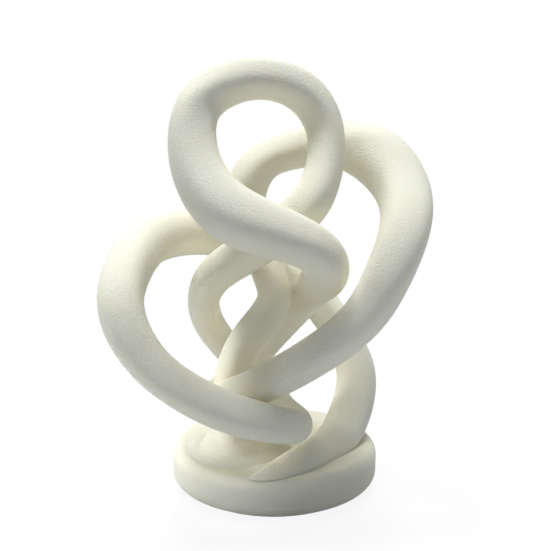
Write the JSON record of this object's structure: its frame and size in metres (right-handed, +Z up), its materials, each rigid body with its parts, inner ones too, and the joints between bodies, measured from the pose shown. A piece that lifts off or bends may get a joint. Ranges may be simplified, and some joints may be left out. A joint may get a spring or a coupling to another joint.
{
  "type": "knot sculpture",
  "caption": "Matte ivory knot sculpture: a thick round strand looped and twisted through itself, standing on a round weighted base with a felt pad.",
  "frame": {"origin": "middle of the felt pad's underside, on the axis of the round base", "axes": "+Z up, -Y towards the viewer of the front, +X to that viewer's right"},
  "size_m": [0.1438, 0.1193, 0.1981],
  "materials": {
    "cast_ivory": "matte cast resin, fine grain",
    "steel": "plain",
    "brass": "turned",
    "felt": "cream felt"
  },
  "bodies": {
    "root": {"pillar": "cast_ivory", "right_loop": "cast_ivory", "top_loop": "cast_ivory", "side_bend": "cast_ivory", "left_loop": "cast_ivory", "right_leg": "cast_ivory", "base_disc": "cast_ivory", "dowel_1": "steel", "dowel_2": "steel", "dowel_3": "steel", "dowel_4": "steel", "dowel_5": "steel", "base_weight": "steel", "felt_pad": "felt", "pillar_screw": "steel", "pillar_washer": "steel", "pillar_insert": "brass", "right_leg_screw": "steel", "right_leg_washer": "steel", "right_leg_insert": "brass"}
  },
  "joints": []
}
